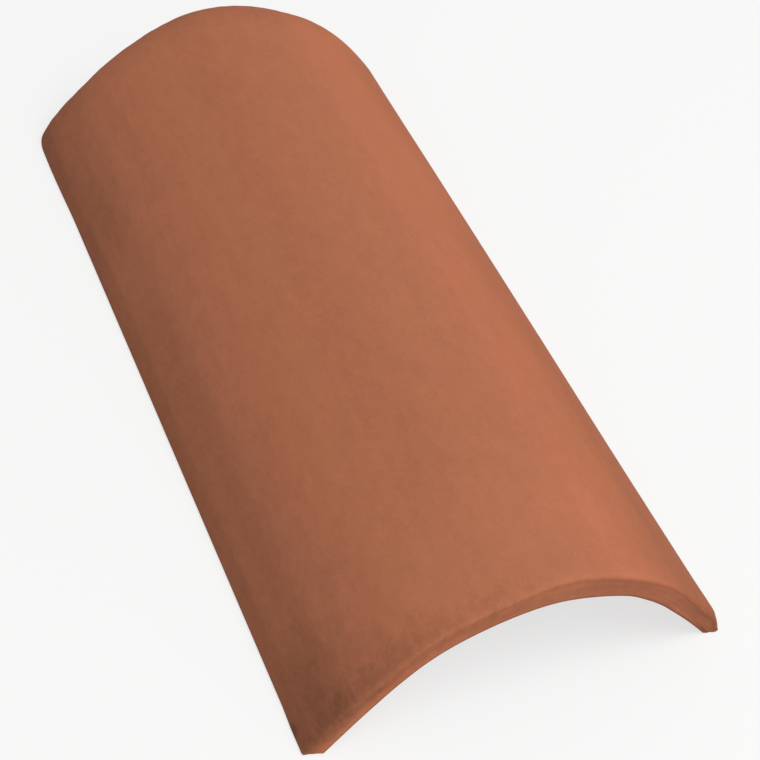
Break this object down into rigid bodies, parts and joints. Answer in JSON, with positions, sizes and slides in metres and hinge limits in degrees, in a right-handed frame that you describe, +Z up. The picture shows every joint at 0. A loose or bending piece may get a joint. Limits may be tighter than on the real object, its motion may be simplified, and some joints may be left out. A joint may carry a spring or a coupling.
{
  "type": "clay roof tile",
  "caption": "Curved, tapered barrel roof tile of fired clay, laid as trough or cover in overlapping courses.",
  "frame": {"origin": "on the ground under the middle of the tile", "axes": "+Y from the wide end to the narrow end, +Z up through the crown, +X to the right seen from the wide end"},
  "size_m": [0.206, 0.4, 0.076],
  "materials": {
    "fired_clay": "matt unglazed fired clay, terracotta, faintly streaked along its length"
  },
  "bodies": {
    "root": {"roof_tile": "fired_clay"}
  },
  "joints": []
}
